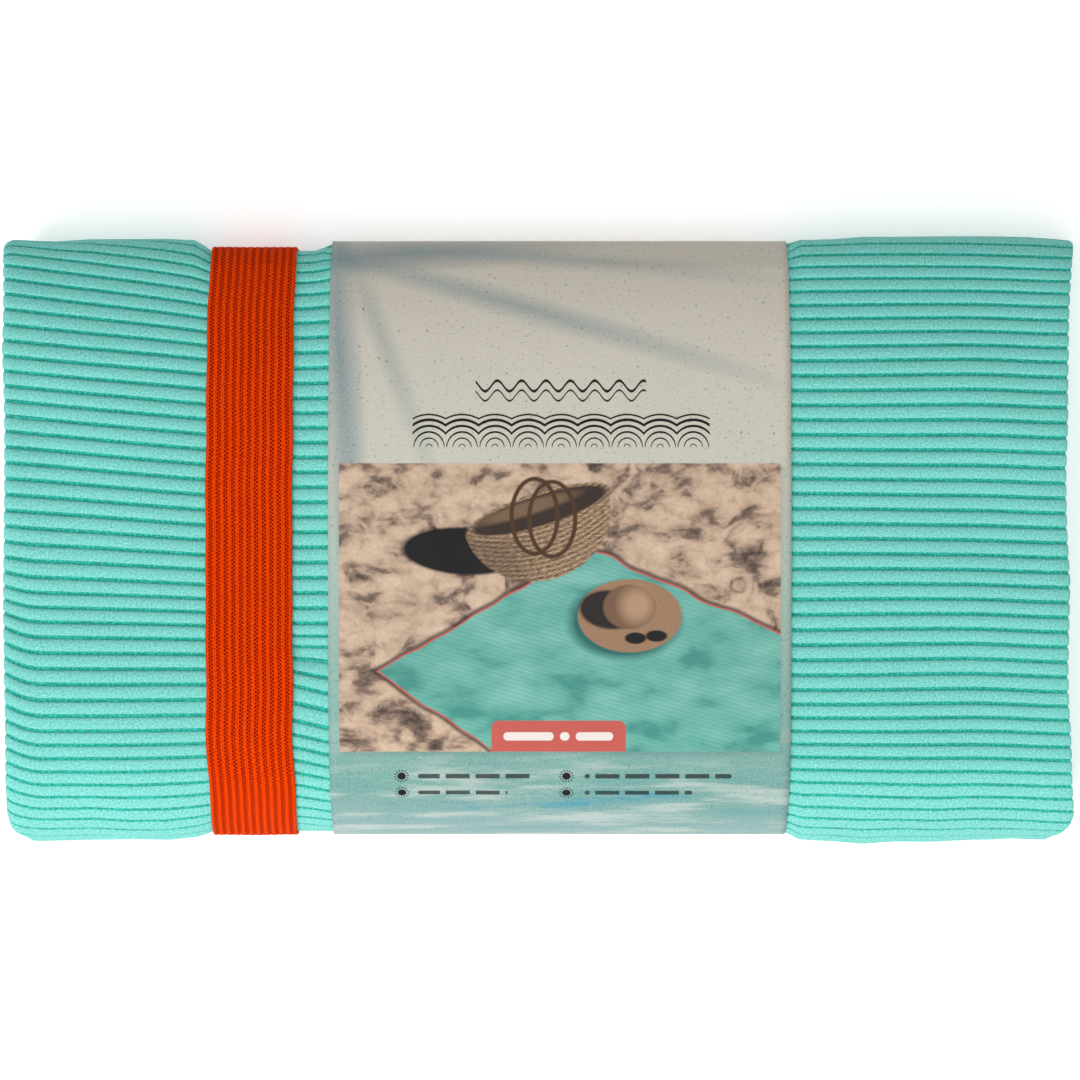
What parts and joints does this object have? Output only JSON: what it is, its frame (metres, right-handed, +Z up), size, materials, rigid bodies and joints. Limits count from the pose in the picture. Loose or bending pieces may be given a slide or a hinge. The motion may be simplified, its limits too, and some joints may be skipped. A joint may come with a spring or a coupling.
{
  "type": "folded travel towel",
  "caption": "Ribbed microfibre travel towel, folded flat and held by a knitted elastic loop and a printed paper sleeve that both pull off its ends.",
  "frame": {"origin": "centre of the bundle's bounding box, on the surface that it lies on", "axes": "+X along the ribs, from the elastic towards the sleeve's free end; +Y across the ribs, towards the top of the print; +Z up, out of the front face"},
  "size_m": [0.3, 0.1706, 0.0464],
  "materials": {
    "towel_cloth": "matte",
    "edging_thread": "matte",
    "label_satin": "satin",
    "elastic_knit": "matte",
    "printed_card": "satin",
    "glue": "satin"
  },
  "bodies": {
    "towel": {"towel_cloth": "towel_cloth", "long_edge_overlock": "edging_thread", "short_edge_overlock": "edging_thread", "care_label": "label_satin"},
    "elastic": {"elastic_band": "elastic_knit", "elastic_join_stitch": "edging_thread"},
    "sleeve": {"sleeve_wrap": "printed_card", "sleeve_glue_strip": "glue"}
  },
  "joints": [
    {"name": "elastic_slide", "type": "slide", "parent": "towel", "child": "elastic", "axis": [1, 0, 0], "range_m": [-0.09, 0.004]},
    {"name": "sleeve_slide", "type": "slide", "parent": "towel", "child": "sleeve", "axis": [1, 0, 0], "range_m": [-0.004, 0.215]}
  ]
}
